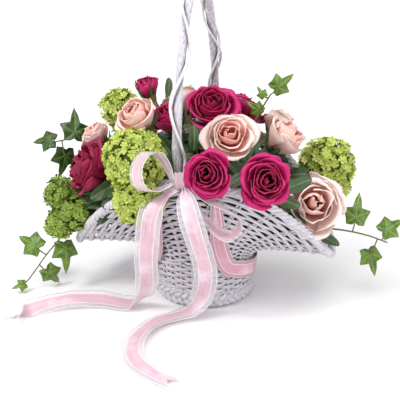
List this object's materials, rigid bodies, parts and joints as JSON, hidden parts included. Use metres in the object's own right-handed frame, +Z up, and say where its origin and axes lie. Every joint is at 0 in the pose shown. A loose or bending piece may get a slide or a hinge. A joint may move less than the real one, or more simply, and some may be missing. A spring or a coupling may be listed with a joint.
{
  "type": "flower girl basket",
  "caption": "Wicker basket with a round neck, flared wings and a tall twisted hoop handle, filled with roses, viburnum and ivy and tied with a ribbon bow.",
  "frame": {"origin": "middle of the foot's underside", "axes": "+Z up; -Y towards the bow at the front; +X along the right-hand wing"},
  "size_m": [0.3742, 0.3344, 0.3273],
  "materials": {
    "wicker": "painted white, slightly chalky",
    "handle_willow": "painted white twisted willow",
    "liner": "dark green matte plastic",
    "foam": "open-cell green floral foam",
    "pink_petal": "velvety petals",
    "peach_petal": "satiny petals",
    "viburnum_floret": "matte florets",
    "stem": "waxy green stem",
    "rose_leaf": "matte leaf",
    "ivy_leaf": "glossy leaf",
    "ribbon": "satin stripe with sheer edges",
    "waist_ribbon": "satin"
  },
  "bodies": {
    "basket": {"base_weave": "wicker", "foot_border": "wicker", "lower_wall_weave": "wicker", "wing_weave": "wicker", "rim_border": "wicker", "side_stakes": "wicker", "handle_core": "handle_willow", "handle_wrap": "handle_willow", "plastic_liner": "liner", "floral_foam": "foam", "viburnum_1_head": "viburnum_floret", "viburnum_1_stem": "stem", "ivy_upper_left": "ivy_leaf", "ivy_lower_left": "ivy_leaf", "ivy_upper_right": "ivy_leaf", "ivy_right": "ivy_leaf", "ivy_back": "ivy_leaf", "rose_leaves": "rose_leaf", "waist_ribbon": "waist_ribbon", "bow_loop_left": "ribbon", "bow_loop_right": "ribbon", "ribbon_tail_left": "ribbon", "ribbon_tail_right": "ribbon", "bow_knot": "ribbon"},
    "pink_rose_1": {"pink_rose_1_bloom": "pink_petal", "pink_rose_1_stem": "stem"},
    "pink_rose_2": {"pink_rose_2_bloom": "pink_petal", "pink_rose_2_stem": "stem"},
    "pink_rose_3": {"pink_rose_3_bloom": "pink_petal", "pink_rose_3_stem": "stem"},
    "pink_rose_4": {"pink_rose_4_bloom": "pink_petal", "pink_rose_4_stem": "stem"},
    "pink_rose_5": {"pink_rose_5_bloom": "pink_petal", "pink_rose_5_stem": "stem"},
    "pink_rose_6": {"pink_rose_6_bloom": "pink_petal", "pink_rose_6_stem": "stem"},
    "pink_rose_7": {"pink_rose_7_bloom": "pink_petal", "pink_rose_7_stem": "stem"},
    "peach_rose_1": {"peach_rose_1_bloom": "peach_petal", "peach_rose_1_stem": "stem"},
    "peach_rose_2": {"peach_rose_2_bloom": "peach_petal", "peach_rose_2_stem": "stem"},
    "peach_rose_3": {"peach_rose_3_bloom": "peach_petal", "peach_rose_3_stem": "stem"},
    "peach_rose_4": {"peach_rose_4_bloom": "peach_petal", "peach_rose_4_stem": "stem"},
    "peach_rose_5": {"peach_rose_5_bloom": "peach_petal", "peach_rose_5_stem": "stem"},
    "peach_rose_6": {"peach_rose_6_bloom": "peach_petal", "peach_rose_6_stem": "stem"},
    "peach_rose_7": {"peach_rose_7_bloom": "peach_petal", "peach_rose_7_stem": "stem"},
    "viburnum_2": {"viburnum_2_head": "viburnum_floret", "viburnum_2_stem": "stem"},
    "viburnum_3": {"viburnum_3_head": "viburnum_floret", "viburnum_3_stem": "stem"},
    "viburnum_4": {"viburnum_4_head": "viburnum_floret", "viburnum_4_stem": "stem"},
    "viburnum_5": {"viburnum_5_head": "viburnum_floret", "viburnum_5_stem": "stem"}
  },
  "joints": [
    {"name": "pink_rose_1_draw", "type": "slide", "parent": "basket", "child": "pink_rose_1", "axis": [-0.9312, -0.235, 0.2785], "range_m": [0, 0.022]},
    {"name": "pink_rose_2_draw", "type": "slide", "parent": "basket", "child": "pink_rose_2", "axis": [-0.526, 0.2104, 0.8241], "range_m": [0, 0.027]},
    {"name": "pink_rose_3_draw", "type": "slide", "parent": "basket", "child": "pink_rose_3", "axis": [0.0613, 0.1839, 0.981], "range_m": [0, 0.02]},
    {"name": "pink_rose_4_draw", "type": "slide", "parent": "basket", "child": "pink_rose_4", "axis": [-0.4463, -0.062, 0.8927], "range_m": [0, 0.024]},
    {"name": "pink_rose_5_draw", "type": "slide", "parent": "basket", "child": "pink_rose_5", "axis": [0.1254, -0.8968, 0.4243], "range_m": [0, 0.015]},
    {"name": "pink_rose_6_draw", "type": "slide", "parent": "basket", "child": "pink_rose_6", "axis": [0.5575, -0.7096, 0.4308], "range_m": [0, 0.024]},
    {"name": "pink_rose_7_draw", "type": "slide", "parent": "basket", "child": "pink_rose_7", "axis": [0.2954, 0.6963, 0.6541], "range_m": [0, 0.032]},
    {"name": "peach_rose_1_draw", "type": "slide", "parent": "basket", "child": "peach_rose_1", "axis": [-0.5044, -0.354, 0.7876], "range_m": [0, 0.029]},
    {"name": "peach_rose_2_draw", "type": "slide", "parent": "basket", "child": "peach_rose_2", "axis": [0.3261, -0.4784, 0.8154], "range_m": [0, 0.027]},
    {"name": "peach_rose_3_draw", "type": "slide", "parent": "basket", "child": "peach_rose_3", "axis": [0.8068, 0.1076, 0.5809], "range_m": [0, 0.029]},
    {"name": "peach_rose_4_draw", "type": "slide", "parent": "basket", "child": "peach_rose_4", "axis": [0.9899, -0.1131, -0.0848], "range_m": [0, 0.021]},
    {"name": "peach_rose_5_draw", "type": "slide", "parent": "basket", "child": "peach_rose_5", "axis": [-0.9044, 0.0592, 0.4226], "range_m": [0, 0.024]},
    {"name": "peach_rose_6_draw", "type": "slide", "parent": "basket", "child": "peach_rose_6", "axis": [-0.3164, 0.6328, 0.7067], "range_m": [0, 0.034]},
    {"name": "peach_rose_7_draw", "type": "slide", "parent": "basket", "child": "peach_rose_7", "axis": [0.6516, 0.6127, 0.4473], "range_m": [0, 0.025]},
    {"name": "viburnum_2_draw", "type": "slide", "parent": "basket", "child": "viburnum_2", "axis": [0.9179, 0.3831, 0.1038], "range_m": [0, 0.021]},
    {"name": "viburnum_3_draw", "type": "slide", "parent": "basket", "child": "viburnum_3", "axis": [-0.9801, -0.1815, -0.0799], "range_m": [0, 0.021]},
    {"name": "viburnum_4_draw", "type": "slide", "parent": "basket", "child": "viburnum_4", "axis": [-0.7555, 0.2404, 0.6095], "range_m": [0, 0.03]},
    {"name": "viburnum_5_draw", "type": "slide", "parent": "basket", "child": "viburnum_5", "axis": [-0.7547, 0.5225, 0.3967], "range_m": [0, 0.024]}
  ]
}
